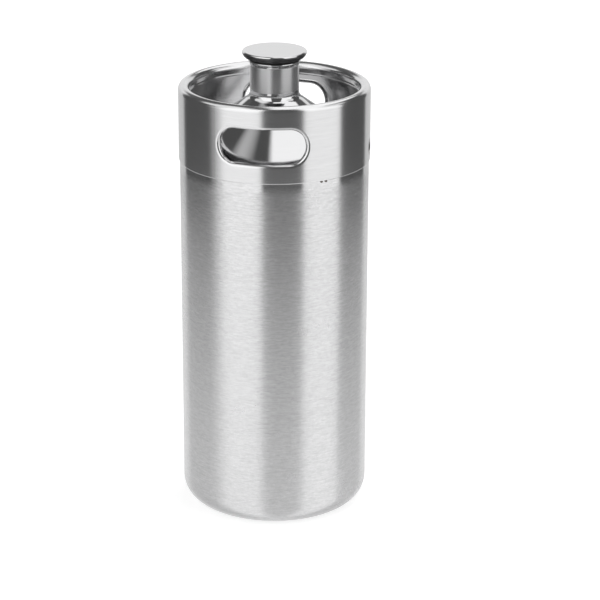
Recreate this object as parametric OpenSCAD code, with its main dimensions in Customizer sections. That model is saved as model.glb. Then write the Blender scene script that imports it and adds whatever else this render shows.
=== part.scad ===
// Four litre stainless steel mini keg: a welded vessel with a rolled handle ring round its neck
// and a screw cap with a flat gasket. Millimetres, +Z up, origin at the middle of the foot.

/* [Vessel] */
// Outside diameter of the body
body_d = 133.6; // [110:0.1:160]
// Sheet thickness of the body, base and shoulder
wall = 0.7; // [0.5:0.05:1]
// Height of the shoulder's lower edge above the floor
shoulder_z = 261; // [180:0.5:320]
// Width of each weld between two pressings
weld_w = 1.2; // [0.8:0.1:2]
// How far a weld stands proud inside the vessel
weld_crown = 0.3; // [0.1:0.05:0.6]

/* [Base] */
// Outside radius of the corner between wall and foot
corner_r = 14.7; // [8:0.1:20]
// Height of the straight rim above the corner
base_rim_h = 3; // [1:0.5:8]
// Width of the flat ring that the keg stands on
foot_w = 7; // [4:0.5:12]
// Height of the panel inside the foot above the floor
base_rise = 5; // [2:0.5:8]
// Bend radius of the step up to that panel
base_bend_r = 5; // [4.5:0.5:8]

/* [Shoulder] */
// Radius of the bend from the wall into the shoulder
knuckle_r = 12; // [8:0.5:16]
// Slope of the shoulder's cone
shoulder_slope = 36; // [28:1:42]
// Radius of the hollow bend from the cone up into the neck
neck_bend_r = 6; // [4:0.5:9]
// Height of the straight collar that the neck is welded to
collar_h = 1.4; // [0.8:0.1:3]

/* [Neck] */
// Outside diameter of the neck
neck_d = 34.4; // [30:0.1:44]
// Thickness of the neck between its outside and its bore
neck_wall = 2.4; // [1.6:0.1:4]
// Height of the neck from its weld to the top of the lip
neck_h = 19.9; // [18.5:0.1:30]
// How far the rounded lip stands out from the neck
lip_reach = 1.2; // [0.9:0.1:3]
// Radius of the lip's rounded edge
lip_round = 0.8; // [0.5:0.05:1.2]
// Radius of the hollow flare under the lip
flare_r = 4; // [3:0.5:6]
// Chamfer at the mouth of the bore
mouth_chamfer = 0.5; // [0.2:0.1:1]

/* [Handle ring] */
// Sheet thickness of the handle ring
ring_wall = 0.65; // [0.5:0.05:0.9]
// Height of the handle ring
ring_h = 54; // [48:0.5:70]
// How far the ring laps over the top of the body
ring_lap = 3.5; // [2:0.5:6]
// Gap between the ring and the body that it is slid over
lap_gap = 0.05; // [0.02:0.01:0.1]
// Radius of the rolled top edge
rim_r = 3.9; // [3:0.1:5]
// How far the rolled edge turns past straight down
rim_tuck = 12; // [0:1:20]
// Length of the straight leg inside the rolled edge
rim_leg = 3.8; // [2:0.1:6]

/* [Hand holes] */
// Length of each hand hole along the ring
hand_w = 68; // [55:0.5:80]
// Height of each hand hole
hand_h = 29; // [24:0.5:31]
// Height of the hand holes' lower edge above the ring's
hand_rise = 11.2; // [10:0.1:16]
// Radius of the bend round the hole's edge
bend_r = 2.2; // [1.5:0.1:3]
// Length of the inward flange past its bend
flange_leg = 0.7; // [0.4:0.1:2]

/* [Drain holes] */
// Diameter of the two drain holes
drain_d = 12.4; // [6:0.1:14]
// Height of their middle above the ring's lower edge
drain_rise = 10.5; // [9:0.1:16]

/* [Cap] */
// How far the cap reaches out past the seat that presses the gasket
cap_reach = 3.8; // [3:0.1:8]
// Radius of the cap's upper edge
cap_round = 0.9; // [0.8:0.05:1.5]
// Radius of the cap's lower edge
cap_under_round = 0.8; // [0.75:0.05:1.2]
// Slope of the cap's underside
cap_under_slope = 37; // [30:1:42]
// Sheet thickness of the cap's crown
crown_wall = 0.6; // [0.4:0.05:0.65]
// Gap between the crown and the plate that it is rolled over
crown_gap = 0.05; // [0.02:0.01:0.1]
// Height of the crown's rolled edge above the gasket
crown_rise = 0.85; // [0.6:0.05:2]
// Width of the gasket's face
gasket_w = 3.8; // [3:0.1:5]
// Thickness of the gasket
gasket_t = 1.4; // [1:0.1:3]
// How far the gasket's edge lies inside the seat's
gasket_inset = 0.4; // [0.2:0.1:1]

/* [Plug] */
// Room for the thread between the plug's core and the bore
thread_room = 0.8; // [0.6:0.1:1.5]
// Length of the plug below the gasket seat
plug_h = 16.6; // [12:0.1:17]
// Sheet thickness of the plug
plug_wall = 1; // [0.8:0.1:1.5]
// Radius of the plug's lower corner
plug_corner_r = 2; // [1.6:0.1:4]
// Sliding gap between the plug and the gasket or the plate
plug_gap = 0.1; // [0.05:0.05:0.2]

/* [Hidden] */
$fn = 128;

// How far a cutter runs past what it cuts
overrun = 1;
// Steps of each bend in a section
bend_steps = 12;
// Steps of each round end of a hand hole, and of each of its straight sides
end_steps = 18;
side_steps = 8;
// Steps of the flange's bend on its outside and on its inside
flange_steps = 5;
flange_inner_steps = 3;
// How deep the flange's skirt lies in the sheet, and how far it reaches into it
skirt_sink = 0.06;
skirt_w = 1.5;
// Share of the ring's sheet that is left in the stretched flange
flange_share = 0.78;
// Shares of a weld's width where its inner crown starts and ends
crown_shares = [0.25, 0.75];
// Steps of the knuckle that the ring's weld fills, from its first to its last
ring_weld_steps = [1, 4];
// Where the lip's round starts, and how far the flare under it turns
lip_start = -60;
flare_turn = 32;

body_r = body_d / 2;
neck_r = neck_d / 2;
bore_r = neck_r - neck_wall;
lip_r = neck_r + lip_reach;
plug_r = bore_r - thread_room;
gasket_r = plug_r + plug_gap + gasket_w;
seat_r = gasket_r + gasket_inset;
cap_r = seat_r + cap_reach;

// Heights of the vessel, from the floor up
base_weld_z = corner_r + base_rim_h;
tube_bottom_z = base_weld_z + weld_w;
tube_top_z = shoulder_z - weld_w;
base_turn = acos(1 - base_rise / (2 * base_bend_r));

// The knuckle ends where the cone starts, and the cone ends where the neck's bend starts
knuckle_turn = 90 - shoulder_slope;
knuckle_end = [body_r - knuckle_r * (1 - cos(knuckle_turn)), shoulder_z + knuckle_r * sin(knuckle_turn)];
cone_end_r = neck_r + neck_bend_r * (1 - sin(shoulder_slope));
cone_end_z = knuckle_end.y + (knuckle_end.x - cone_end_r) * tan(shoulder_slope);
collar_z = cone_end_z + neck_bend_r * cos(shoulder_slope);
neck_weld_z = collar_z + collar_h;
neck_z = neck_weld_z + weld_w;
lip_z = neck_z + neck_h;

// The ring slides over the body and its rim is rolled inward
ring_z = shoulder_z - ring_lap;
ring_in_r = body_r + lap_gap;
ring_r = ring_in_r + ring_wall;
rim_z = ring_z + ring_h - rim_r;
hand_end_r = hand_h / 2;
hand_z = ring_z + hand_rise + hand_end_r;
hand_side = hand_w / 2 - hand_end_r;
flange_t = ring_wall * flange_share;
flange_depth = skirt_sink + bend_r + flange_leg + flange_t / 2;
drain_z = ring_z + drain_rise;

// The gasket lies on the lip and the cap's plate presses on it
plate_z = lip_z + gasket_t;
crown_mouth_r = seat_r + plug_gap + crown_gap;
crown_run = cap_r - cap_under_round * (1 - sin(cap_under_slope)) - crown_mouth_r;
widest_z = plate_z + crown_rise + crown_run * tan(cap_under_slope) + cap_under_round * cos(cap_under_slope);
cap_top_z = widest_z + cap_round;
plug_bottom_z = plate_z - plug_h;

echo(overall_height = cap_top_z, overall_width = 2 * ring_r, ring_top = ring_z + ring_h, neck_lip = lip_z);

function arc(centre, r, from, to, steps = bend_steps) =
    [for (i = [0:steps]) let (a = from + (to - from) * i / steps) centre + r * [cos(a), sin(a)]];

function backwards(points) = [for (i = [len(points) - 1:-1:0]) points[i]];

// A sheet's section lies between its outer line and the same line one thickness deeper
function sheet(outer_line, inner_line) = concat(outer_line, backwards(inner_line));

// Line of the base at a depth inside its outer surface, from the rim to the axis
function base_line(depth) =
    let (step = [body_r - corner_r - foot_w, base_bend_r],
         top = step - 2 * base_bend_r * [sin(base_turn), cos(base_turn)])
    concat([[body_r - depth, base_weld_z]],
           arc([body_r - corner_r, corner_r], corner_r - depth, 0, -90),
           arc(step, base_bend_r - depth, -90, -90 - base_turn),
           arc(top, base_bend_r + depth, 90 - base_turn, 90),
           [[0, base_rise + depth]]);

// Line of the shoulder at a depth inside its outer surface, from its lower edge to the collar
function shoulder_line(depth) =
    concat(knuckle_line(depth),
           arc([neck_r + neck_bend_r, collar_z], neck_bend_r + depth, 270 - shoulder_slope, 180),
           [[neck_r - depth, neck_weld_z]]);

function knuckle_line(depth) = arc([body_r - knuckle_r, shoulder_z], knuckle_r - depth, 0, knuckle_turn);

// Line of the handle ring at a depth inside its outer surface, from its lower edge to the hem
function ring_line(depth) =
    let (roll = arc([ring_r - rim_r, rim_z], rim_r - depth, 0, 180 + rim_tuck, 2 * bend_steps))
    concat([[ring_r - depth, ring_z]],
           roll,
           [roll[2 * bend_steps] + rim_leg * [sin(rim_tuck), -cos(rim_tuck)]]);

// Middle of the folded hem at the end of the ring's leg
function hem_centre() = let (n = len(ring_line(0)) - 1) (ring_line(0)[n] + ring_line(ring_wall)[n]) / 2;

// Line of the crown at a depth inside its outer surface, from the axis to its widest
function crown_line(depth) =
    concat([[0, cap_top_z - depth]],
           arc([cap_r - cap_round, widest_z], cap_round - depth, 90, 0));

// The rest of that line, rolled under the cap's plate as far as the crown's mouth
function rolled_line(depth) =
    let (roll = arc([cap_r - cap_under_round, widest_z], cap_under_round - depth, 0, cap_under_slope - 90),
         run = roll[bend_steps].x - crown_mouth_r)
    concat(roll, [roll[bend_steps] - run * [1, tan(cap_under_slope)]]);

// Line of the plug at a depth inside its outer surface, from its top to the axis
function plug_line(depth) =
    concat([[plug_r - depth, widest_z]],
           arc([plug_r - plug_corner_r, plug_bottom_z + plug_corner_r], plug_corner_r - depth, 0, -90),
           [[0, plug_bottom_z + depth]]);

// A hand hole's outline as stations: the centre of curvature along the wall, and the way outward
hand_stations = concat(
    [for (i = [0:end_steps]) [hand_side, -90 + 180 * i / end_steps]],
    [for (i = [1:side_steps - 1]) [hand_side * (1 - 2 * i / side_steps), 90]],
    [for (i = [0:end_steps]) [-hand_side, 90 + 180 * i / end_steps]],
    [for (i = [1:side_steps - 1]) [hand_side * (2 * i / side_steps - 1), 270]]);

// Section of the flange as [inset from the hole's outline, depth below the ring's surface]
flange_section = let (inner_r = bend_r - flange_t, bend_depth = skirt_sink + bend_r)
    concat([[-skirt_w, skirt_sink]],
           arc([0, bend_depth], bend_r, -90, 0, flange_steps),
           [[bend_r, flange_depth - flange_t / 2], [bend_r - flange_t / 2, flange_depth],
            [inner_r, flange_depth - flange_t / 2]],
           arc([0, bend_depth], inner_r, 0, -90, flange_inner_steps),
           [[-skirt_w, skirt_sink + flange_t]]);

// A place on the flat pattern of the ring, wrapped round it
function wrapped(along, up, depth) =
    let (turn = along / ring_r * 180 / PI)
    [(ring_r - depth) * sin(turn), -(ring_r - depth) * cos(turn), up];

function station_point(station, inset, depth) =
    let (reach = hand_end_r - inset)
    wrapped(station[0] + reach * cos(station[1]), hand_z + reach * sin(station[1]), depth);

module revolved(points) {
    rotate_extrude() polygon(points);
}

// A weld ring flush with the outside, with its crown inside
module weld_ring(outer_r, z) {
    revolved([[outer_r, z], [outer_r, z + weld_w], [outer_r - wall, z + weld_w],
              [outer_r - wall - weld_crown, z + weld_w * crown_shares[1]],
              [outer_r - wall - weld_crown, z + weld_w * crown_shares[0]], [outer_r - wall, z]]);
}

// A slot along the back of the tube, where the rolled sheet's edges meet
module seam_slot(width, from_z, to_z) {
    translate([-width / 2, body_r - wall - overrun, from_z])
        cube([width, wall + 2 * overrun, to_z - from_z]);
}

module body_tube() {
    color("silver")
        difference() {
            translate([0, 0, tube_bottom_z]) cylinder(r = body_r, h = tube_top_z - tube_bottom_z);
            translate([0, 0, tube_bottom_z - overrun])
                cylinder(r = body_r - wall, h = tube_top_z - tube_bottom_z + 2 * overrun);
            seam_slot(weld_w, tube_bottom_z - overrun, tube_top_z + overrun);
        }
}

module body_seam_weld() {
    color("darkgray")
        intersection() {
            difference() {
                translate([0, 0, tube_bottom_z]) cylinder(r = body_r, h = tube_top_z - tube_bottom_z);
                translate([0, 0, tube_bottom_z - overrun])
                    cylinder(r = body_r - wall, h = tube_top_z - tube_bottom_z + 2 * overrun);
            }
            seam_slot(weld_w, tube_bottom_z, tube_top_z);
        }
}

module base_dish() {
    color("silver") revolved(sheet(base_line(0), base_line(wall)));
}

module base_weld() {
    color("darkgray") weld_ring(body_r, base_weld_z);
}

module shoulder_dome() {
    color("gainsboro") revolved(sheet(shoulder_line(0), shoulder_line(wall)));
}

module shoulder_weld() {
    color("darkgray") weld_ring(body_r, tube_top_z);
}

module neck_weld() {
    color("darkgray") weld_ring(neck_r, neck_weld_z);
}

module neck_socket() {
    flare_z = lip_z - 2 * lip_round - flare_r * sin(flare_turn);
    outer = concat([[neck_r, neck_z]],
                   arc([neck_r + flare_r, flare_z], flare_r, 180, 180 - flare_turn),
                   arc([lip_r - lip_round, lip_z - lip_round], lip_round, lip_start, 90));
    bore = [[bore_r + mouth_chamfer, lip_z], [bore_r, lip_z - mouth_chamfer], [bore_r, neck_z]];
    color("gainsboro") revolved(concat(outer, bore));
}

// The inward flange round one hand hole, swept along its outline and wrapped onto the ring
module hand_flange() {
    rings = len(hand_stations);
    sides = len(flange_section);
    points = [for (station = hand_stations) for (p = flange_section) station_point(station, p.x, p.y)];
    faces = [for (i = [0:rings - 1]) for (j = [0:sides - 1])
        let (a = i * sides + j, b = i * sides + (j + 1) % sides,
             c = (i + 1) % rings * sides + (j + 1) % sides, d = (i + 1) % rings * sides + j)
        each [[a, b, c], [a, c, d]]];
    polyhedron(points, faces);
}

// The opening that is punched before its edge is turned in
module hand_opening() {
    outline = [for (station = hand_stations) let (p = station_point(station, 0, 0)) [p.x, p.z]];
    rotate([90, 0, 0]) linear_extrude(ring_r + overrun) polygon(outline);
}

module drain_opening() {
    translate([0, 0, drain_z]) rotate([0, 90, 0]) cylinder(d = drain_d, h = ring_r + overrun);
}

module handle_ring() {
    color("lightgray") {
        difference() {
            rotate_extrude() {
                polygon(sheet(ring_line(0), ring_line(ring_wall)));
                translate(hem_centre()) circle(r = ring_wall);
            }
            for (turn = [0, 180]) rotate(turn) {
                hand_opening();
                drain_opening();
            }
        }
        for (turn = [0, 180]) rotate(turn) hand_flange();
    }
}

// The bead that fills the groove between the ring and the shoulder's knuckle
module ring_weld() {
    knuckle = knuckle_line(0);
    first = ring_weld_steps[0];
    last = ring_weld_steps[1];
    color("darkgray")
        revolved(concat([for (i = [first:last]) knuckle[i]],
                        [[ring_in_r, knuckle[last].y], [ring_in_r, knuckle[first].y]]));
}

module cap_crown() {
    color("whitesmoke")
        revolved(sheet(concat(crown_line(0), rolled_line(0)),
                       concat(crown_line(crown_wall), rolled_line(crown_wall))));
}

// Plate that closes the crown, carries the plug and presses on the gasket
module cap_plate() {
    rim = backwards(rolled_line(crown_wall + crown_gap));
    color("lightgray")
        revolved(concat([[plug_r + plug_gap, plate_z], [seat_r, plate_z], [seat_r, rim[0].y]],
                        rim,
                        [[plug_r + plug_gap, widest_z]]));
}

// Hollow plug that screws into the neck, drawn as a cup and welded into the plate
module cap_plug() {
    color("lightgray") revolved(sheet(plug_line(0), plug_line(plug_wall)));
}

module cap_gasket() {
    color("black")
        translate([0, 0, lip_z])
            difference() {
                cylinder(r = gasket_r, h = gasket_t);
                translate([0, 0, -overrun]) cylinder(r = plug_r + plug_gap, h = gasket_t + 2 * overrun);
            }
}

body_tube();
body_seam_weld();
base_dish();
base_weld();
shoulder_dome();
shoulder_weld();
neck_socket();
neck_weld();
handle_ring();
ring_weld();
cap_crown();
cap_plate();
cap_plug();
cap_gasket();
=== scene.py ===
"""Looks of the four litre mini keg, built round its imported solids.

Metres, +Z up, origin at the middle of the foot. The handle ring is made as a metal worker
makes it: a flat pattern with its holes, a rolled edge and a hem, which is then bent round.
"""

import logging
import math
from collections.abc import Callable, Iterable
from dataclasses import dataclass
from enum import Enum
from functools import reduce

import bmesh
import bpy
from mathutils import Matrix, Vector


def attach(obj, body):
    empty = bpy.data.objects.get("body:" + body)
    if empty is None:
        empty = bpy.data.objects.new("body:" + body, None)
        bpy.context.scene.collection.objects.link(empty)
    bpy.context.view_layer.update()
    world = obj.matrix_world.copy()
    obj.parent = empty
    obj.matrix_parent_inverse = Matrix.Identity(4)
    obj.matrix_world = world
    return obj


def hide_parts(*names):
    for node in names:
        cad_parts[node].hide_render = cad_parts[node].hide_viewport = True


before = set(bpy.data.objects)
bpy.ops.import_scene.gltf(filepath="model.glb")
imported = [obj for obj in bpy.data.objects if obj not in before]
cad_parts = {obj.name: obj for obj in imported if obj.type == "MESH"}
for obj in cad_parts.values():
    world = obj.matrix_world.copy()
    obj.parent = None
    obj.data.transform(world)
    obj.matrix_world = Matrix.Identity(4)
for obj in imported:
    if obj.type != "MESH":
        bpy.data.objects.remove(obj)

MM = 0.001
MERGE = 0.01 * MM
FULL_TURN = 2 * math.pi
# Most of a noise's values lie between these two
NOISE_RANGE = (0.3, 0.7)
RIGHT = Vector((1, 0, 0))
BACK = Vector((0, 1, 0))
UP = Vector((0, 0, 1))
MIDDLE = Vector((0, 0, 0))

Piece = bpy.types.Object
Material = bpy.types.Material
Tree = bpy.types.NodeTree
Node = bpy.types.Node
Socket = bpy.types.NodeSocket
# Across and up, in the upright plane that outlines are drawn in
Place = tuple[float, float]
Section = list[Place]
Values = dict[str | int, object]

log = logging.getLogger("mini_keg")


class Body(Enum):
    """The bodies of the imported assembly."""

    KEG = "keg"
    GASKET = "gasket"
    CAP = "cap"


class Slot(Enum):
    """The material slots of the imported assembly."""

    BRUSHED = "brushed_sheet"
    POLISHED = "polished_steel"
    WELD = "weld_steel"
    GASKET = "gasket"


class Pick(Enum):
    """What is picked by its place."""

    CORNERS = "corners"
    EDGES = "edges"
    OPEN_EDGES = "open edges"


class Bench:
    """The mesh tools that every sub-assembly works with."""

    @staticmethod
    def clear() -> None:
        """Leaves nothing selected."""
        bpy.ops.object.select_all(action="DESELECT")

    @staticmethod
    def take(piece: Piece) -> None:
        """Makes a piece the only one selected, and the active one.

        Args:
            piece: The piece.
        """
        Bench.clear()
        piece.select_set(True)
        bpy.context.view_layer.objects.active = piece

    @staticmethod
    def named(name: str) -> Piece:
        """Names the primitive that was just added.

        Args:
            name: The piece's name.

        Returns:
            The piece.
        """
        piece = bpy.context.active_object
        piece.name = name
        piece.data.name = name
        return piece

    @staticmethod
    def edit() -> None:
        """Opens the active piece in edit mode with nothing selected."""
        bpy.ops.object.mode_set(mode="EDIT")
        bpy.ops.mesh.select_mode(type="VERT")
        bpy.ops.mesh.select_all(action="DESELECT")

    @staticmethod
    def close() -> None:
        """Goes back to object mode."""
        bpy.ops.object.mode_set(mode="OBJECT")

    @staticmethod
    def pick(test: Callable[[Vector], bool], kind: Pick = Pick.CORNERS) -> None:
        """Selects what meets a test, in edit mode, and nothing else.

        Args:
            test: Whether a place, in the piece's own frame, is wanted.
            kind: What is picked. Both ends of an edge have to meet the test.
        """
        bpy.ops.mesh.select_mode(type="VERT" if kind is Pick.CORNERS else "EDGE")
        bpy.ops.mesh.select_all(action="DESELECT")
        mesh = bpy.context.active_object.data
        work = bmesh.from_edit_mesh(mesh)
        if kind is Pick.CORNERS:
            wanted = [v for v in work.verts if test(v.co)]
        else:
            edges = [e for e in work.edges if kind is Pick.EDGES or e.is_boundary]
            wanted = [e for e in edges if all(test(v.co) for v in e.verts)]
        for element in wanted:
            element.select_set(True)
        bmesh.update_edit_mesh(mesh)

    @staticmethod
    def whole() -> None:
        """Selects the whole mesh, in edit mode."""
        bpy.ops.mesh.select_all(action="SELECT")

    @staticmethod
    def merge() -> None:
        """Merges the whole mesh's doubles, in edit mode."""
        Bench.whole()
        bpy.ops.mesh.remove_doubles(threshold=MERGE)

    @staticmethod
    def shift(offset: Iterable[float]) -> None:
        """Moves the whole mesh, in edit mode."""
        Bench.whole()
        bpy.ops.transform.translate(value=offset)

    @staticmethod
    def pull(offset: Vector) -> None:
        """Extrudes what is selected."""
        bpy.ops.mesh.extrude_region_move(TRANSFORM_OT_translate={"value": offset})

    @staticmethod
    def modify(piece: Piece, kind: str, **values: object) -> None:
        """Adds a modifier to a piece and applies it.

        Args:
            piece: The piece.
            kind: The modifier's type.
            **values: Its settings.
        """
        Bench.take(piece)
        modifier = piece.modifiers.new(kind.title(), kind)
        for key, value in values.items():
            setattr(modifier, key, value)
        bpy.ops.object.modifier_apply(modifier=modifier.name)

    @staticmethod
    def spin(centre: Vector, degrees: float, steps: int, axis: Vector) -> None:
        """Spins what is selected, counter-clockwise seen from the axis's tip."""
        bpy.ops.mesh.spin(steps=steps, angle=-math.radians(degrees), center=centre, axis=axis)

    @staticmethod
    def outward() -> None:
        """Merges doubles and turns the faces outward, in edit mode."""
        Bench.merge()
        bpy.ops.mesh.normals_make_consistent(inside=False)

    @staticmethod
    def smooth(piece: Piece, angle: float) -> None:
        """Shades a piece smooth, with edges over an angle in degrees left sharp."""
        Bench.take(piece)
        bpy.ops.object.shade_smooth_by_angle(angle=math.radians(angle))

    @staticmethod
    def settle(piece: Piece) -> None:
        """Puts a piece's place into its mesh."""
        Bench.take(piece)
        bpy.ops.object.transform_apply(location=True, rotation=True, scale=True)

    @staticmethod
    def finish(
        piece: Piece, body: Body, slot: Slot, material: Material, replaced: Iterable[str] = ()
    ) -> None:
        """Dresses a new piece and sets it on its body.

        Args:
            piece: The piece, in place.
            body: The body that it rides on.
            slot: The record's slot that its finish belongs to. Not used.
            material: The material it gets.
            replaced: The CAD nodes that it stands for.
        """
        piece.data.materials.append(material)
        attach(piece, body.value)
        if replaced:
            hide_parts(*replaced)
        log.info("%s: %d faces on %s", piece.name, len(piece.data.polygons), body.value)


class Tracer:
    """Draws an outline by extruding one corner from place to place, as by hand."""

    def __init__(self, name: str, start: Place) -> None:
        """Adds a plane and keeps one corner of it.

        Args:
            name: The piece's name.
            start: Where the outline starts.
        """
        bpy.ops.mesh.primitive_plane_add(size=MM, location=(0, 0, 0))
        self.piece = Bench.named(name)
        self.at = self._spot(start)
        Bench.edit()
        Bench.pick(lambda p: p.x + p.y < MM / 2)
        bpy.ops.mesh.delete(type="VERT")
        Bench.shift(self.at - Vector((MM / 2, MM / 2, 0)))

    @staticmethod
    def _spot(place: Place) -> Vector:
        """Gives a place of the plane as a place in space."""
        return Vector((place[0], 0, place[1]))

    def line(self, *places: Place) -> None:
        """Draws straight lines through places.

        Args:
            *places: The places, in order.
        """
        for spot in map(self._spot, places):
            Bench.pull(spot - self.at)
            self.at = spot

    def arc(self, centre: Place, degrees: float, steps: int) -> None:
        """Draws an arc round a centre.

        Args:
            centre: The arc's centre.
            degrees: How far it turns, counter-clockwise seen from behind.
            steps: How many edges it gets.
        """
        middle = self._spot(centre)
        turn = Matrix.Rotation(math.radians(degrees), 3, BACK)
        Bench.spin(middle, degrees, steps, BACK)
        self.at = middle + turn @ (self.at - middle)


@dataclass(frozen=True)
class SteelFinish:
    """A stainless steel finish.

    Args:
        name: The material's name.
        colour: The steel's colour.
        roughness: Its roughness, where the grain is level.
        along: Grain's length, in metres.
        across: Grain's width, in metres.
        depth: Height of the grain, in metres.
        tone: How much the grain changes the colour.
        patchy: How much the roughness drifts over the surface.
        spread: How much the grain draws reflections out across itself.
        ripple: Length of a weld's ripples in metres, or 0 for none.
        rise: Height of those ripples, as a share of their length.
        tint: Colour of the heat tint beside a weld.
        tinted: How much of that tint shows.
        bright_z: Height above which it is polished bright, or 0 for nowhere.
        bright_fade: Half the height over which it turns bright.
        bright_roughness: The roughness above that.
    """

    name: str
    colour: tuple[float, float, float]
    roughness: float
    along: float = 0.008
    across: float = 0.0005
    depth: float = 0.000002
    tone: float = 0.05
    patchy: float = 0.04
    spread: float = 0.0
    ripple: float = 0.0
    rise: float = 0.125
    tint: tuple[float, float, float] = (0.30, 0.22, 0.14)
    tinted: float = 0.0
    bright_z: float = 0.0
    bright_fade: float = MM / 4
    bright_roughness: float = 0.12

    def make(self, groups: "Groups") -> Material:
        """Builds the material.

        Args:
            groups: The shared effects.

        Returns:
            The material.
        """
        sheet = Nodes.material(self.name)
        place = sheet.place()
        grain = sheet.group(groups.grain, Vector=place, Along=self.along, Across=self.across)
        patch = sheet.group(groups.drift, Vector=place)
        shade = sheet.shade(sheet.swing(grain, 1, self.tone), self.colour)
        if self.tinted:
            shade = sheet.blend(sheet.span(patch, 0.35, 0.7, 0, self.tinted), shade, self.tint)
        rough = sheet.swing(patch, self.roughness, self.patchy)
        if self.bright_z:
            z = sheet.split(place)[2]
            rough = sheet.step(z, self.bright_z, self.bright_fade, rough, self.bright_roughness)
        if self.ripple:
            bead = sheet.group(groups.ripple, Vector=place, Length=self.ripple)
            sheet.dent(bead, self.ripple * self.rise)
        else:
            sheet.dent(grain, self.depth)
        sheet.feed(sheet.shader, {
            "Base Color": shade,
            "Roughness": rough,
            "Metallic": 1.0,
            "Anisotropic": self.spread,
            "Anisotropic Rotation": 0.25,
        })
        return sheet.owner


@dataclass(frozen=True)
class RubberFinish:
    """A matt silicone finish.

    Args:
        name: The material's name.
        colour: The rubber's colour.
        roughness: Its roughness.
        grain: Size of its fine moulded grain, in metres.
        rise: Height of that grain, as a share of its size.
        smoother: How much the roughness falls in the grain's hollows.
        rougher: How much it rises on its tops.
        clean: How bright the cleanest patches are, against the colour.
        dusty: How bright the dustiest patches are.
    """

    name: str
    colour: tuple[float, float, float]
    roughness: float
    grain: float
    rise: float = 0.1
    smoother: float = 0.05
    rougher: float = 0.08
    clean: float = 0.9
    dusty: float = 1.5

    def make(self, groups: "Groups") -> Material:
        """Builds the material.

        Args:
            groups: The shared effects.

        Returns:
            The material.
        """
        sheet = Nodes.material(self.name)
        place = sheet.place()
        pores = sheet.noise(place, 1 / self.grain, 3)
        dust = sheet.span(sheet.group(groups.drift, Vector=place), 0.4, 0.7, self.clean, self.dusty)
        least, most = self.roughness - self.smoother, self.roughness + self.rougher
        sheet.dent(pores, self.grain * self.rise)
        sheet.feed(sheet.shader, {
            "Base Color": sheet.shade(dust, self.colour),
            "Roughness": sheet.span(pores, *NOISE_RANGE, least, most),
            "Specular IOR Level": 0.35,
        })
        return sheet.owner


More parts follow.
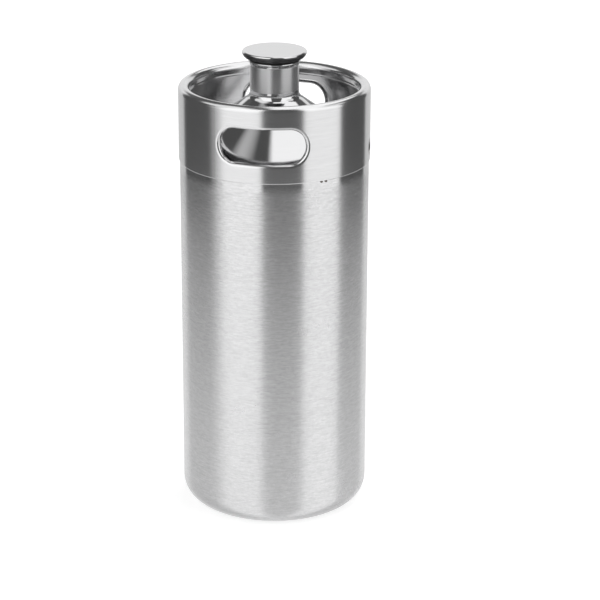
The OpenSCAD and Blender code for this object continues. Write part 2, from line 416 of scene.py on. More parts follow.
class Nodes:
    """A node tree with short ways to add and join its nodes."""

    def __init__(self, tree: Tree, owner: bpy.types.ID | None = None) -> None:
        """Takes a tree.

        Args:
            tree: The node tree.
            owner: The material or world that it belongs to.
        """
        self.tree = tree
        self.owner = owner
        self.shader: Node | None = None

    @classmethod
    def material(cls, name: str) -> "Nodes":
        """Starts a material with one shader.

        Args:
            name: The material's name.

        Returns:
            Its tree.
        """
        owner = bpy.data.materials.new(name)
        owner.use_nodes = True
        made = cls(owner.node_tree, owner)
        made.tree.nodes.clear()
        made.shader = made.add("ShaderNodeBsdfPrincipled")
        made.add("ShaderNodeOutputMaterial", {"Surface": made.shader.outputs["BSDF"]})
        return made

    def add(self, kind: str, values: Values | None = None, **settings: object) -> Node:
        """Adds a node.

        Args:
            kind: The node's type.
            values: Numbers or sockets for its inputs, by their name or place.
            **settings: Its settings.

        Returns:
            The node.
        """
        node = self.tree.nodes.new(kind)
        for key, setting in settings.items():
            setattr(node, key, setting)
        self.feed(node, values or {})
        return node

    def feed(self, node: Node, values: Values) -> None:
        """Gives a node's inputs their values and links.

        Args:
            node: The node.
            values: Numbers or sockets, by the input's name or place.
        """
        for key, value in values.items():
            if isinstance(value, Socket):
                self.tree.links.new(value, node.inputs[key])
            else:
                node.inputs[key].default_value = value

    def place(self) -> Socket:
        """Gives the place on the piece, in its own frame."""
        return self.add("ShaderNodeTexCoord").outputs["Object"]

    def math(self, operation: str, *values: object) -> Socket:
        """Works out a Math node's operation on numbers or sockets."""
        return self.add("ShaderNodeMath", dict(enumerate(values)), operation=operation).outputs[0]

    def times(self, first: object, *others: object) -> Socket:
        """Multiplies numbers and sockets."""
        return reduce(lambda total, other: self.math("MULTIPLY", total, other), others, first)

    def plus(self, first: object, *others: object) -> Socket:
        """Adds numbers and sockets."""
        return reduce(lambda total, other: self.math("ADD", total, other), others, first)

    def split(self, place: Socket) -> tuple[Socket, ...]:
        """Splits a place into its three lengths."""
        return tuple(self.add("ShaderNodeSeparateXYZ", {0: place}).outputs)

    def dent(self, height: Socket, reach: float) -> None:
        """Gives the shader a bumpy surface, its bumps as high as reach."""
        bump = self.add("ShaderNodeBump", {"Distance": reach, "Height": height})
        self.feed(self.shader, {"Normal": bump.outputs["Normal"]})

    def span(
        self, value: object, low: float, high: float, to_low: object, to_high: object
    ) -> Socket:
        """Maps a value's range to another, with its ends held."""
        ends = {"From Min": low, "From Max": high, "To Min": to_low, "To Max": to_high}
        return self.add("ShaderNodeMapRange", {"Value": value, **ends}).outputs["Result"]

    def step(self, value: object, at: float, soft: float, before: object, after: object) -> Socket:
        """Turns one value into another where a measure passes a place, give or take a soft edge."""
        return self.span(value, at - soft, at + soft, before, after)

    def swing(self, noise: Socket, middle: float, reach: float) -> Socket:
        """Turns a noise into a value that swings so far about a middle."""
        return self.span(noise, *NOISE_RANGE, middle - reach, middle + reach)

    def shade(self, factor: object, colour: tuple[float, ...]) -> Socket:
        """Makes a colour lighter or darker by a factor."""
        values = {0: colour, "Scale": factor}
        return self.add("ShaderNodeVectorMath", values, operation="SCALE").outputs[0]

    def blend(self, share: object, first: Socket, second: tuple[float, ...]) -> Socket:
        """Mixes a share of a second colour into a first."""
        values = {0: share, 6: first, 7: (*second, 1.0)}
        return self.add("ShaderNodeMix", values, data_type="RGBA").outputs[2]

    def noise(self, place: Socket, scale: float, detail: float) -> Socket:
        """Reads a noise texture of a scale, with so many octaves of detail, at a place."""
        values = {"Vector": place, "Scale": scale, "Detail": detail}
        return self.add("ShaderNodeTexNoise", values).outputs["Fac"]

    def group(self, tree: Tree, **values: object) -> Socket:
        """Places a shared effect with its inputs, and gives its one result."""
        return self.add("ShaderNodeGroup", values, node_tree=tree).outputs[0]


class Groups:
    """The effects that more than one finish uses, each built once."""

    def __init__(self) -> None:
        """Builds the groups."""
        self.grain = self._grain()
        self.drift = self._drift()
        self.ripple = self._ripple()

    @staticmethod
    def _start(name: str, inputs: Iterable[str], output: str) -> tuple[Nodes, Node]:
        """Starts a group.

        Args:
            name: Its name.
            inputs: Its number inputs, after the place.
            output: Its one result.

        Returns:
            The tree and its input node.
        """
        tree = bpy.data.node_groups.new(name, "ShaderNodeTree")
        tree.interface.new_socket(name="Vector", in_out="INPUT", socket_type="NodeSocketVector")
        for key in inputs:
            tree.interface.new_socket(name=key, in_out="INPUT", socket_type="NodeSocketFloat")
        tree.interface.new_socket(name=output, in_out="OUTPUT", socket_type="NodeSocketFloat")
        made = Nodes(tree)
        return made, made.add("NodeGroupInput")

    @staticmethod
    def _end(made: Nodes, value: Socket) -> Tree:
        """Ends a group with its result."""
        made.add("NodeGroupOutput", {0: value})
        return made.tree

    @staticmethod
    def _round(made: Nodes, given: Node) -> tuple[Socket, ...]:
        """Turns a place to its way round the axis, its distance from it and its height.

        Args:
            made: The group's tree.
            given: The group's input node.

        Returns:
            The three lengths. The way round starts at the front and ends at the seam.
        """
        x, y, z = made.split(given.outputs["Vector"])
        squares = made.plus(made.math("POWER", x, 2.0), made.math("POWER", y, 2.0))
        radius = made.math("SQRT", squares)
        angle = made.math("ARCTAN2", x, made.times(y, -1.0))
        return made.times(angle, radius), radius, z

    def _grain(self) -> Tree:
        """Brush strokes that run round the axis: long and fine, with shorter ones between.

        Returns:
            The group.
        """
        made, given = self._start("brush_grain", ("Along", "Across"), "Height")
        way, radius, height = self._round(made, given)
        layers = []
        for stretch, squeeze, weight in ((1.0, 1.0, 0.5), (0.4, 2.2, 0.3), (2.5, 0.35, 0.2)):
            long = made.math("DIVIDE", stretch, given.outputs["Along"])
            fine = made.math("DIVIDE", squeeze, given.outputs["Across"])
            drawn = (made.times(way, long), made.times(radius, fine), made.times(height, fine))
            joined = made.add("ShaderNodeCombineXYZ", dict(enumerate(drawn))).outputs[0]
            layers.append(made.times(made.noise(joined, 1.0, 2), weight))
        return self._end(made, made.plus(*layers))

    def _drift(self) -> Tree:
        """Broad, soft patches, as handling and washing leave them.

        Returns:
            The group.
        """
        made, given = self._start("surface_drift", (), "Patch")
        broad = made.noise(given.outputs["Vector"], 22.0, 3)
        small = made.noise(given.outputs["Vector"], 140.0, 2)
        return self._end(made, made.plus(made.times(broad, 0.7), made.times(small, 0.3)))

    def _ripple(self) -> Tree:
        """Ripples of a weld bead that runs round the axis or up it.

        Returns:
            The group.
        """
        made, given = self._start("weld_ripple", ("Length",), "Height")
        way, _, height = self._round(made, given)
        path = made.plus(way, height, made.times(made.noise(given.outputs["Vector"], 400.0, 2), MM))
        phase = made.times(made.math("DIVIDE", path, given.outputs["Length"]), FULL_TURN)
        return self._end(made, made.span(made.math("SINE", phase), -1, 1, 0, 1))


class Finish(Enum):
    """The keg's finishes."""

    BODY = SteelFinish(
        "satin_body_steel", (0.66, 0.66, 0.665), 0.26, along=0.0038, across=0.0008, depth=0.000007,
        tone=0.14, patchy=0.02, spread=0.3, bright_z=252 * MM, bright_fade=3 * MM,
        bright_roughness=0.14,
    )
    RING = SteelFinish(
        "brushed_ring_steel", (0.68, 0.68, 0.685), 0.18, along=0.02, across=0.0006, depth=0.000006,
        tone=0.05, patchy=0.01, spread=0.3,
    )
    POLISH = SteelFinish(
        "polished_steel", (0.64, 0.64, 0.645), 0.08, along=0.03, across=0.0008, depth=0.0000006,
        tone=0.015, patchy=0.02,
    )
    NECK = SteelFinish(
        "turned_neck_steel", (0.66, 0.66, 0.665), 0.45, along=0.03, across=0.0004, depth=0.000001,
        tone=0.03, patchy=0.02, spread=0.95, bright_z=325 * MM,
    )
    TURNED = SteelFinish(
        "turned_thread_steel", (0.66, 0.66, 0.665), 0.18, along=0.03, across=0.0003, depth=0.000002,
        tone=0.03, patchy=0.02,
    )
    # Near-black colour: painted shade, a dark reflection painted into the rolled edge's steel
    ROLLED = SteelFinish(
        "painted_shade_edge_steel", (0.13, 0.13, 0.133), 0.42, along=0.02, across=0.0004,
        depth=0.000003, tone=0.12, patchy=0.04, spread=0.5,
    )
    WELD = SteelFinish(
        "weld_bead_steel", (0.50, 0.50, 0.515), 0.34, ripple=0.0016, tone=0.06, patchy=0.06,
        tinted=0.35,
    )
    TACK = SteelFinish(
        "tack_weld_steel", (0.13, 0.12, 0.115), 0.5, ripple=0.0008, tone=0.1, patchy=0.05,
        tinted=0.3,
    )
    RUBBER = RubberFinish("black_silicone", (0.012, 0.012, 0.013), 0.5, 0.0006)


Materials = dict[Finish, Material]


@dataclass
class Vessel:
    """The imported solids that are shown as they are: the vessel, and the cap's inner parts."""

    dressed: tuple[tuple[str, Finish, Slot], ...] = (
        ("body_tube", Finish.BODY, Slot.BRUSHED),
        ("base_dish", Finish.BODY, Slot.BRUSHED),
        ("base_weld", Finish.BODY, Slot.WELD),
        ("body_seam_weld", Finish.WELD, Slot.WELD),
        ("shoulder_dome", Finish.POLISH, Slot.POLISHED),
        ("shoulder_weld", Finish.WELD, Slot.WELD),
        ("neck_weld", Finish.NECK, Slot.WELD),
        ("ring_weld", Finish.WELD, Slot.WELD),
        ("neck_socket", Finish.NECK, Slot.POLISHED),
        ("cap_plate", Finish.POLISH, Slot.POLISHED),
        ("cap_plug", Finish.TURNED, Slot.POLISHED),
    )

    def build(self, materials: Materials) -> None:
        """Dresses them.

        Args:
            materials: The keg's materials.
        """
        for name, finish, slot in self.dressed:
            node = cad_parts[name]
            node.data.materials.clear()
            node.data.materials.append(materials[finish])
            log.info("%s: packed solid, %s", name, finish.value.name)


@dataclass
class HandleRing:
    """The handle ring: one sheet with rolled rim, hem, hand holes and drain holes."""

    radius: float = 67.5 * MM
    sheet: float = 0.65 * MM
    low_z: float = 257.5 * MM
    height: float = 54 * MM
    rim_r: float = 3.9 * MM
    rim_turn: float = 192
    leg: float = 3.8 * MM
    fold_r: float = 0.05 * MM
    hem: float = 0.55 * MM
    hand_w: float = 68 * MM
    hand_h: float = 29 * MM
    hand_rise: float = 11.2 * MM
    bend_r: float = 2.2 * MM
    flange_leg: float = 0.95 * MM
    border: float = 0.4 * MM
    drain_r: float = 6.2 * MM
    drain_rise: float = 10.5 * MM
    strip: float = 1.65 * MM
    margin: float = 1.2 * MM
    snap: float = MERGE / 10
    arc_steps: int = 24
    bend_steps: int = 8
    edge_angle: float = 60
    edge_round: float = 0.16 * MM
    edge_steps: int = 2
    lap_round: float = 0.6 * MM
    lap_steps: int = 5
    roll_steps: int = 30
    hem_steps: int = 8
    sharp: float = 40

    @property
    def quarter(self) -> float:
        """Length of a quarter of the flat pattern."""
        return math.pi / 2 * self.radius

    @property
    def roll_z(self) -> float:
        """Height where the rim's roll starts."""
        return self.low_z + self.height - self.rim_r

    @property
    def hand_z(self) -> float:
        """Height of the hand holes' middle."""
        return self.low_z + self.hand_rise + self.hand_h / 2

    @property
    def end_r(self) -> float:
        """Radius of the hand hole's round ends in the flat pattern."""
        return self.hand_h / 2 + self.border

    @property
    def side(self) -> float:
        """Half the length of the hand hole's straight sides."""
        return (self.hand_w - self.hand_h) / 2

    def build(self, materials: Materials) -> None:
        """Makes the ring from its flat pattern.

        Args:
            materials: The keg's materials.
        """
        piece = self._pattern()
        self._divide()
        self._mirror(piece)
        self._flange()
        self._roll()
        Bench.close()
        self._wrap(piece)
        Bench.modify(piece, "SOLIDIFY", thickness=self.sheet, offset=-1, use_even_offset=True)
        self._ease(piece)
        Bench.modify(
            piece, "BEVEL", width=self.edge_round, segments=self.edge_steps, limit_method="ANGLE",
            angle_limit=math.radians(self.edge_angle),
        )
        Bench.smooth(piece, self.sharp)
        Bench.modify(piece, "WEIGHTED_NORMAL", keep_sharp=True)
        Bench.finish(piece, Body.KEG, Slot.BRUSHED, materials[Finish.RING], ("handle_ring",))

    def _ease(self, piece: Piece) -> None:
        """Rounds the outer corner of the lap's lower edge.

        Args:
            piece: The ring, with its thickness.
        """
        Bench.take(piece)
        Bench.edit()
        near = self.radius - self.sheet / 4
        low = self.low_z + MERGE
        Bench.pick(lambda p: p.z < low and math.hypot(p.x, p.y) > near, Pick.EDGES)
        bpy.ops.mesh.bevel(offset=self.lap_round, segments=self.lap_steps, profile=0.5)
        Bench.close()

    def _pattern(self) -> Piece:
        """Draws a quarter of the sheet, with half a hand hole and half a drain hole cut from it.

        Returns:
            The piece, in edit mode, with the outline filled.
        """
        drain_z = self.low_z + self.drain_rise
        tracer = Tracer("handle_ring_sheet", (0, self.low_z))
        tracer.line((self.quarter, self.low_z), (self.quarter, drain_z - self.drain_r))
        tracer.arc((self.quarter, drain_z), 180, self.arc_steps)
        tracer.line((self.quarter, self.roll_z), (0, self.roll_z))
        tracer.line((0, self.hand_z + self.end_r), (self.side, self.hand_z + self.end_r))
        tracer.arc((self.side, self.hand_z), 180, self.arc_steps)
        tracer.line((0, self.hand_z - self.end_r), (0, self.low_z))
        Bench.merge()
        bpy.ops.mesh.edge_face_add()
        return tracer.piece

    def _stations(self) -> list[float]:
        """Says where the sheet is divided, through the corners that its holes already have.

        Returns:
            The places along the quarter, in order.
        """
        hole_end = self.side + self.end_r
        gap = self.quarter - self.drain_r - hole_end
        turns = [math.sin(math.pi * k / self.arc_steps) for k in range(1, self.arc_steps // 2 + 1)]
        straight, plain = round(self.side / self.strip), round(gap / self.strip)
        places = [self.side * k / straight for k in range(1, straight + 1)]
        places += [self.side + self.end_r * turn for turn in turns]
        places += [hole_end + gap * k / plain for k in range(1, plain)]
        places += [self.quarter - self.drain_r * turn for turn in reversed(turns)]
        return places

    def _divide(self) -> None:
        """Cuts the sheet into upright strips, so that it can bend, and keeps its edges crisp."""
        margins = (
            self.low_z + self.margin, self.low_z + 2 * self.margin, self.roll_z - self.margin
        )
        cuts = [((place, 0, 0), (1, 0, 0)) for place in self._stations()]
        cuts += [((0, 0, height), (0, 0, 1)) for height in margins]
        for place, across in cuts:
            Bench.whole()
            bpy.ops.mesh.bisect(plane_co=place, plane_no=across, threshold=self.snap)

    def _mirror(self, piece: Piece) -> None:
        """Mirrors the quarter about the hand hole's middle, and leaves the half in edit mode.

        Args:
            piece: The quarter ring, flat.
        """
        Bench.whole()
        bpy.ops.mesh.normals_make_consistent(inside=False)
        work = bmesh.from_edit_mesh(piece.data)
        work.faces.ensure_lookup_table()
        if work.faces[0].normal.y > 0:
            bpy.ops.mesh.flip_normals()
        Bench.close()
        Bench.modify(piece, "MIRROR", use_axis=(True, False, False), merge_threshold=MERGE)
        Bench.edit()

    def _flange(self) -> None:
        """Fills the hand hole, insets it round the bend and down the flange, and opens it."""
        reach = self.hand_h / 2 + 2 * self.border
        half = self.hand_w / 2 + 2 * self.border
        Bench.pick(lambda p: abs(p.x) < half and abs(p.z - self.hand_z) < reach, Pick.OPEN_EDGES)
        bpy.ops.mesh.edge_face_add()
        turns = [math.pi / 2 * k / self.bend_steps for k in range(self.bend_steps + 1)]
        moves = [(self.border, 0.0)]
        for a, b in zip(turns, turns[1:]):
            inward, deep = math.sin(b) - math.sin(a), math.cos(a) - math.cos(b)
            moves.append((self.bend_r * inward, self.bend_r * deep))
        for inward, deep in moves:
            bpy.ops.mesh.inset(
                thickness=inward, depth=-deep, use_boundary=True, use_even_offset=True
            )
        Bench.pull(BACK * self.flange_leg)
        bpy.ops.mesh.delete(type="FACE")

    def _roll(self) -> None:
        """Rolls the upper edge inward, adds the straight leg and folds its end to a hem."""
        tuck = math.radians(self.rim_turn - 180)
        top = self.roll_z - MERGE
        centre = Vector((0, self.rim_r, self.roll_z))
        down = Vector((0, -math.sin(tuck), -math.cos(tuck)))
        out = Vector((0, math.cos(tuck), -math.sin(tuck)))
        Bench.pick(lambda p: p.z > top, Pick.OPEN_EDGES)
        Bench.spin(centre, self.rim_turn, self.roll_steps, -RIGHT)
        Bench.pull(down * self.leg)
        end = centre + out * self.rim_r + down * self.leg
        Bench.spin(end + out * self.fold_r, 180, self.hem_steps, RIGHT)
        Bench.pull(-down * self.hem)

    def _wrap(self, piece: Piece) -> None:
        """Joins two halves end to end and bends the strip to a closed ring.

        Args:
            piece: The half ring, flat.
        """
        Bench.modify(
            piece, "ARRAY", count=2, use_relative_offset=False, use_constant_offset=True,
            constant_offset_displace=(2 * self.quarter, 0, 0), use_merge_vertices=True,
            merge_threshold=MERGE,
        )
        Bench.edit()
        Bench.shift((-self.quarter, 0, 0))
        Bench.close()
        Bench.modify(piece, "SIMPLE_DEFORM", deform_method="BEND", deform_axis="Z", angle=FULL_TURN)
        Bench.edit()
        Bench.shift((0, -self.radius, 0))
        Bench.merge()
        Bench.close()
        piece.rotation_euler.z = math.pi / 2
        Bench.settle(piece)


class Lathe:
    """Turns pieces from their sections."""

    @staticmethod
    def turn(name: str, steps: int, places: Section) -> Piece:
        """Turns a section round the axis, closed unless it starts and ends on the axis.

        Args:
            name: The piece's name.
            steps: How many faces it gets round.
            places: The section's corners, each as radius and height.

        Returns:
            The piece.
        """
        tracer = Tracer(name, places[0])
        tracer.line(*places[1:])
        if places[0][0] > 0:
            tracer.line(places[0])
        Bench.whole()
        Bench.spin(MIDDLE, 360, steps, UP)
        Bench.outward()
        Bench.close()
        return tracer.piece

    @staticmethod
    def round(centre: Place, radius: float, start: float, end: float, steps: int = 6) -> Section:
        """Lists an arc's corners. Its start and end are degrees, from outward upward."""
        turns = [math.radians(start + (end - start) * k / steps) for k in range(steps + 1)]
        return [(centre[0] + radius * math.cos(t), centre[1] + radius * math.sin(t)) for t in turns]


@dataclass
class Gasket:
    """The flat silicone ring, which bulges a little where it is squeezed."""

    low_z: float = 328.708 * MM
    thick: float = 1.4 * MM
    inner_r: float = 14.1 * MM
    outer_r: float = 17.9 * MM
    edge_r: float = 0.35 * MM
    bulge: float = 1.08
    skin: float = 0.02 * MM
    steps: int = 128
    sharp: float = 50

    def build(self, materials: Materials) -> None:
        """Turns the gasket.

        Args:
            materials: The keg's materials.
        """
        low, high = self.low_z + self.skin, self.low_z + self.thick - self.skin
        r, out, inside = self.edge_r, self.outer_r, self.inner_r
        middle = (low + high) / 2
        section = Lathe.round((out - r, low + r), r, -90, -20)
        section += [(out - r + r * self.bulge, middle)]
        section += Lathe.round((out - r, high - r), r, 20, 90)
        section += Lathe.round((inside + r, high - r), r, 90, 180)
        section += Lathe.round((inside + r, low + r), r, 180, 270)
        piece = Lathe.turn("gasket_ring", self.steps, section)
        Bench.smooth(piece, self.sharp)
        Bench.finish(piece, Body.GASKET, Slot.GASKET, materials[Finish.RUBBER], ("cap_gasket",))


@dataclass
class Crown:
    """The cap's polished skin, and the edge rolled under it, whose near-black colour is painted
    shade: a dark reflection painted into the steel.
    """

    top_z: float = 335.0 * MM
    reach: float = 22.6 * MM
    top_round: float = 1.0 * MM
    bulge: float = 3.9 * MM
    slope: float = 42
    leg: float = 1.06 * MM
    turn_in: float = 0.35 * MM
    mouth_r: float = 18.25 * MM
    mouth_z: float = 330.2 * MM
    sheet: float = 0.6 * MM
    steps: int = 160
    round_steps: int = 8
    under_steps: int = 10
    fine_steps: int = 4
    sharp: float = 30

    @property
    def split_z(self) -> float:
        """Height of the line between the skin and its rolled edge."""
        return self.top_z - self.top_round

    def build(self, materials: Materials) -> None:
        """Turns the skin and the rolled edge.

        Args:
            materials: The keg's materials.
        """
        skin = Lathe.turn("cap_skin", self.steps, self._skin())
        Bench.smooth(skin, self.sharp)
        Bench.finish(skin, Body.CAP, Slot.POLISHED, materials[Finish.POLISH], ("cap_crown",))
        # The rolled edge gets the near-black steel: painted shade standing in for a dark reflection
        edge = Lathe.turn("cap_rolled_edge", self.steps, self._edge())
        Bench.smooth(edge, self.sharp)
        Bench.finish(edge, Body.CAP, Slot.POLISHED, materials[Finish.ROLLED])

    def _skin(self) -> Section:
        """Lists the corners of the skin's section.

        Returns:
            The corners, from the axis round to the axis again.
        """
        centre = (self.reach - self.top_round, self.split_z)
        outer = Lathe.round(centre, self.top_round, 90, 0, self.round_steps)
        inner = Lathe.round(centre, self.top_round - self.sheet, 0, 90, self.fine_steps)
        flat = (outer[0][0] - self.sheet, self.top_z)
        return [(0, self.top_z), flat, *outer, *inner, (0, self.top_z - self.sheet)]

    def _edge(self) -> Section:
        """Lists the corners of the rolled edge's section.

        Returns:
            The corners, outer line first.
        """
        across, down = math.cos(math.radians(self.slope)), math.sin(math.radians(self.slope))
        middle = (self.reach - self.bulge, self.split_z)
        outer = Lathe.round(middle, self.bulge, 0, -self.slope, self.under_steps)
        inner = Lathe.round(middle, self.bulge - self.sheet, 0, -self.slope, self.under_steps)
        foot = (outer[-1][0] - self.leg * down, outer[-1][1] - self.leg * across)
        centre = (foot[0] - self.turn_in * across, foot[1] + self.turn_in * down)
        turned = Lathe.round(centre, self.turn_in, -self.slope, -90, self.fine_steps)
        back = (inner[-1][0] - self.leg * down, inner[-1][1] - self.leg * across)
        mouth = [(self.mouth_r, self.mouth_z), (self.mouth_r, self.mouth_z + self.sheet)]
        return [*outer, *turned, *mouth, back, *inner[::-1]]


@dataclass
class Thread:
    """A thread ridge, wound by a screw and run out at both ends.

    Args:
        name: The piece's name.
        root_r: Radius that it is sunk to.
        crest_r: Radius of its crest.
        low_z: Height of its first middle.
        turns: How many turns it has, from the right.
    """

    name: str
    root_r: float
    crest_r: float
    low_z: float
    turns: float
    pitch: float = 4 * MM
    base: float = 2.2 * MM
    crest: float = 1.0 * MM
    steps: int = 96
    run_out: float = 40
    least: float = 0.02
    sharp: float = 30

    def build(self, body: Body, material: Material) -> None:
        """Winds the ridge.

        Args:
            body: The body that it rides on.
            material: Its material.
        """
        half, top = self.base / 2, self.crest / 2
        tracer = Tracer(self.name, (self.root_r, -half))
        tracer.line((self.crest_r, -top), (self.crest_r, top))
        tracer.line((self.root_r, half), (self.root_r, -half))
        Bench.merge()
        Bench.close()
        piece = tracer.piece
        whole = math.ceil(self.turns)
        Bench.modify(
            piece, "SCREW", axis="Z", angle=FULL_TURN * self.turns / whole, iterations=whole,
            screw_offset=self.pitch * self.turns / whole, steps=self.steps, render_steps=self.steps,
            use_smooth_shade=True, use_normal_calculate=True,
        )
        self._run_out(piece)
        piece.location.z = self.low_z
        Bench.settle(piece)
        Bench.smooth(piece, self.sharp)
        Bench.finish(piece, body, Slot.POLISHED, material)

    def _run_out(self, piece: Piece) -> None:
        """Sinks the ridge's ends into its wall and caps them.

        Args:
            piece: The ridge, wound from the right-hand side.
        """
        Bench.take(piece)
        Bench.edit()
        work = bmesh.from_edit_mesh(piece.data)
        length = self.turns * 360
        for vert in work.verts:
            radius = math.hypot(vert.co.x, vert.co.y)
            if abs(radius - self.root_r) < MERGE:
                continue
            angle = math.degrees(math.atan2(vert.co.y, vert.co.x))
            along = round(vert.co.z / self.pitch - angle / 360) * 360 + angle
            left = min(along, length - along) / self.run_out
            share = max(self.least, min(1.0, left))
            goal = self.root_r + (self.crest_r - self.root_r) * share
            vert.co.x *= goal / radius
            vert.co.y *= goal / radius
        bmesh.update_edit_mesh(piece.data)
        Bench.pick(lambda p: True, Pick.OPEN_EDGES)
        bpy.ops.mesh.edge_face_add()
        Bench.outward()
        Bench.close()


@dataclass
class Tacks:
    """Two small tack welds on the lap's lower edge."""

    azimuths: tuple[float, ...] = (36.4, 39.4)
    radius: float = 67.25 * MM
    height: float = 257.2 * MM
    size: float = 0.75 * MM
    shape: tuple[float, float, float] = (1.2, 0.5, 1.0)
    steps: int = 24
    sharp: float = 60

    def build(self, materials: Materials) -> None:
        """Makes the tacks.

        Args:
            materials: The keg's materials.
        """
        for k, azimuth in enumerate(self.azimuths):
            turn = math.radians(azimuth)
            place = (self.radius * math.sin(turn), -self.radius * math.cos(turn), self.height)
            Bench.clear()
            bpy.ops.mesh.primitive_uv_sphere_add(
                segments=self.steps, ring_count=self.steps // 2, radius=self.size, location=place,
                rotation=(0, 0, turn),
            )
            piece = Bench.named(f"lap_tack_{k + 1}")
            Bench.edit()
            Bench.whole()
            bpy.ops.transform.resize(value=self.shape, orient_type="LOCAL", center_override=place)
            Bench.close()
            Bench.settle(piece)
            Bench.smooth(piece, self.sharp)
            Bench.finish(piece, Body.KEG, Slot.WELD, materials[Finish.TACK])


@dataclass(frozen=True)
class Band:
    """An upright band of light or dark round the keg.

    Args:
        start: Where it starts, in degrees to the right of the camera.
        end: Where it ends.
        light: Its brightness, level with the keg and below.
        above: Its brightness higher up.
        top: How high it reaches, in degrees.
        soft_start: Half the width of its first soft edge, in degrees.
        soft_end: Half the width of its last soft edge.
    """

    start: float
    end: float
    light: float
    above: float
    top: float = 90
    soft_start: float = 2.0
    soft_end: float = 2.0


@dataclass(frozen=True)
class Panel:
    """A level soft box overhead, measured at one metre up.

    Args:
        left: Its left edge, in metres to the right of the keg as the camera sees it.
        right: Its right edge.
        front: Its front edge, in metres behind the keg.
        back: Its back edge.
        light: Its brightness.
        soft: Half the width of its soft edges, in metres.
    """

    left: float
    right: float
    front: float
    back: float
    light: float
    soft: float = 0.03


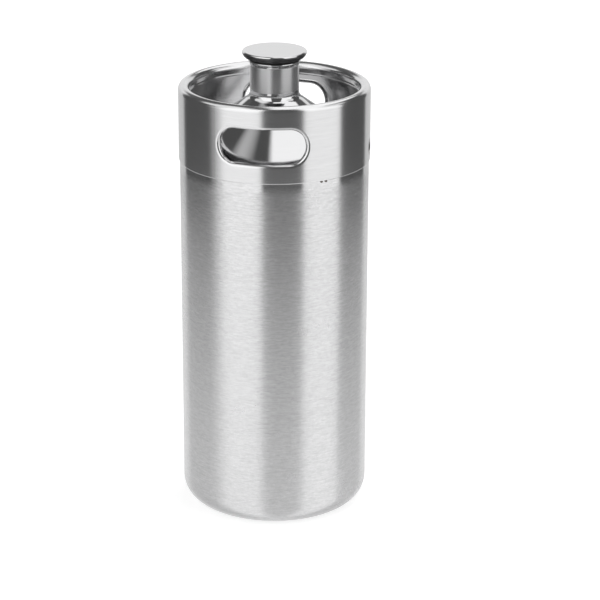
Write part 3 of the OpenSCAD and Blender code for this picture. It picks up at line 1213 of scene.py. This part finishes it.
@dataclass
class Studio:
    """Camera, floor and light, at the photograph's view.

    The bands, the backdrop and the ceiling are what the steel mirrors. Their light is graded
    up to `grade` degrees above and below level.
    """

    bands: tuple[Band, ...] = (
        Band(-137, -66, 0.10, 0.10),
        Band(-72, -14, 1.18, 1.45, 56, soft_start=12),
        Band(-15, 36, 0.13, 0.11),
        Band(35, 87, 1.14, 1.42, 56, soft_end=6),
        Band(86, 139, 0.10, 0.10),
    )
    panels: tuple[Panel, ...] = (
        Panel(-2.0, -0.33, -0.45, 0.21, 1.10, 0.11),
        Panel(-2.0, -0.95, -0.60, 0.42, 1.05, 0.08),
        Panel(0.95, 2.0, -0.60, 0.32, 1.05, 0.08),
        Panel(-0.05, 0.75, -0.45, 1.50, 1.35),
    )
    grade: float = 15
    backdrop: float = 0.68
    backdrop_above: float = 1.0
    ceiling: float = 0.13
    ceiling_from: float = 24
    ceiling_soft: float = 2
    top_soft: float = 3
    overhead_from: float = 0.35
    overhead_soft: float = 0.05
    overhead_least: float = 0.05
    floor_size: float = 12
    floor_near: float = 100 * MM
    floor_far: float = 1300 * MM
    floor_edge: float = 715 * MM
    floor_fade: float = 50 * MM
    floor_shine: float = 0.64
    floor_glow: float = 0.62
    azimuth: float = 7.65
    distance: float = 1.6
    height: float = 0.7327
    tilt: float = 20.02
    lens: float = 141.4
    shift: float = 0.0426

    def build(self) -> None:
        """Makes the camera, the floor and the world's light."""
        scene = bpy.context.scene
        scene.view_settings.view_transform = "Standard"
        turn = math.radians(self.azimuth)
        data = bpy.data.cameras.new("photo_camera")
        data.lens = self.lens
        data.sensor_width = 36
        data.shift_x = self.shift
        data.clip_start, data.clip_end = 0.01, 100
        camera = bpy.data.objects.new("photo_camera", data)
        camera.location = (
            self.distance * math.sin(turn), -self.distance * math.cos(turn), self.height
        )
        camera.rotation_euler = (math.radians(90 - self.tilt), 0, turn)
        scene.collection.objects.link(camera)
        scene.camera = camera
        self._floor()
        self._world()

    @staticmethod
    def _between(
        made: Nodes, value: Socket, low: float, high: float, soft_low: float, soft_high: float
    ) -> Socket:
        """Masks what lies between two places, each with half the width of its soft edge."""
        past_low = made.step(value, low, soft_low, 0, 1)
        return made.times(past_low, made.step(value, high, soft_high, 1, 0))

    def _floor(self) -> None:
        """Lays a pale floor that keeps the keg's shadow. Far out, mirrored rays pass through it."""
        Bench.clear()
        bpy.ops.mesh.primitive_plane_add(size=self.floor_size, location=(0, 0, 0))
        floor = Bench.named("studio_floor")
        made = Nodes.material("pale_floor")
        rays = made.add("ShaderNodeLightPath").outputs
        seen = made.math("MAXIMUM", rays["Is Camera Ray"], rays["Is Glossy Ray"])
        seen = made.math("MAXIMUM", seen, rays["Is Transmission Ray"])
        made.feed(made.shader, {
            "Base Color": (0.70, 0.70, 0.70, 1),
            "Roughness": 0.9,
            "Specular IOR Level": 0.0,
            "Emission Color": (1, 1, 1, 1),
            "Emission Strength": made.times(seen, self.floor_glow),
        })
        measure = made.add("ShaderNodeVectorMath", {0: made.place()}, operation="LENGTH")
        away = measure.outputs["Value"]
        thin = made.span(away, self.floor_near, self.floor_far, 1 - self.floor_shine, 1)
        past = made.step(away, self.floor_edge, self.floor_fade, 0, 1)
        mixed = made.add("ShaderNodeMixShader", {
            0: made.times(made.math("MAXIMUM", thin, past), rays["Is Glossy Ray"]),
            1: made.shader.outputs["BSDF"],
            2: made.add("ShaderNodeBsdfTransparent").outputs[0],
        })
        made.feed(made.tree.nodes["Material Output"], {"Surface": mixed.outputs[0]})
        floor.data.materials.append(made.owner)

    def _world(self) -> None:
        """Surrounds the keg with soft boxes and dark flags. The camera sees plain white."""
        world = bpy.data.worlds.new("soft_studio")
        world.use_nodes = True
        bpy.context.scene.world = world
        made = Nodes(world.node_tree, world)
        made.tree.nodes.clear()
        x, y, z = made.split(made.add("ShaderNodeTexCoord").outputs["Generated"])
        bearing = made.math("DEGREES", made.math("ARCTAN2", x, made.times(y, -1.0)))
        turned = made.plus(made.math("SUBTRACT", bearing, self.azimuth), 180.0)
        around = made.math("SUBTRACT", made.math("FLOORED_MODULO", turned, 360.0), 180.0)
        raised = made.math("DEGREES", made.math("ARCSINE", z))
        wall = made.span(raised, -self.grade, self.grade, self.backdrop, self.backdrop_above)
        light = made.step(raised, self.ceiling_from, self.ceiling_soft, wall, self.ceiling)
        for band in self.bands:
            inside = self._between(
                made, around, band.start, band.end, band.soft_start, band.soft_end
            )
            if band.top < 90:
                inside = made.times(inside, made.step(raised, band.top, self.top_soft, 1, 0))
            graded = made.span(raised, -self.grade, self.grade, band.light, band.above)
            light = made.span(inside, 0, 1, light, graded)
        cosine, sine = math.cos(math.radians(self.azimuth)), math.sin(math.radians(self.azimuth))
        over = made.step(z, self.overhead_from, self.overhead_soft, 0, 1)
        # Never zero, since it divides
        rise = made.math("MAXIMUM", z, self.overhead_least)
        across = made.math("DIVIDE", made.plus(made.times(x, cosine), made.times(y, sine)), rise)
        behind = made.math("DIVIDE", made.plus(made.times(y, cosine), made.times(x, -sine)), rise)
        for panel in self.panels:
            wide = self._between(made, across, panel.left, panel.right, panel.soft, panel.soft)
            deep = self._between(made, behind, panel.front, panel.back, panel.soft, panel.soft)
            light = made.span(made.times(wide, deep, over), 0, 1, light, panel.light)
        seen = made.add("ShaderNodeLightPath").outputs["Is Camera Ray"]
        shown = {"Color": (1, 1, 1, 1), "Strength": made.span(seen, 0, 1, light, 1.0)}
        background = made.add("ShaderNodeBackground", shown)
        made.add("ShaderNodeOutputWorld", {"Surface": background.outputs[0]})


def main() -> None:
    """Builds the keg's looks in order and reports each piece."""
    logging.basicConfig(level=logging.INFO, format="%(message)s")
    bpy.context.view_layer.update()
    Bench.clear()
    groups = Groups()
    materials = {finish: finish.value.make(groups) for finish in Finish}
    Vessel().build(materials)
    HandleRing().build(materials)
    Gasket().build(materials)
    Crown().build(materials)
    plug = Thread("plug_thread", root_r=13.95 * MM, crest_r=14.65 * MM, low_z=316 * MM, turns=2.6)
    plug.build(Body.CAP, materials[Finish.TURNED])
    neck = Thread("neck_thread", root_r=14.85 * MM, crest_r=14.15 * MM, low_z=314 * MM, turns=3.1)
    neck.build(Body.KEG, materials[Finish.TURNED])
    Tacks().build(materials)
    Studio().build()


if __name__ == "__main__":
    main()
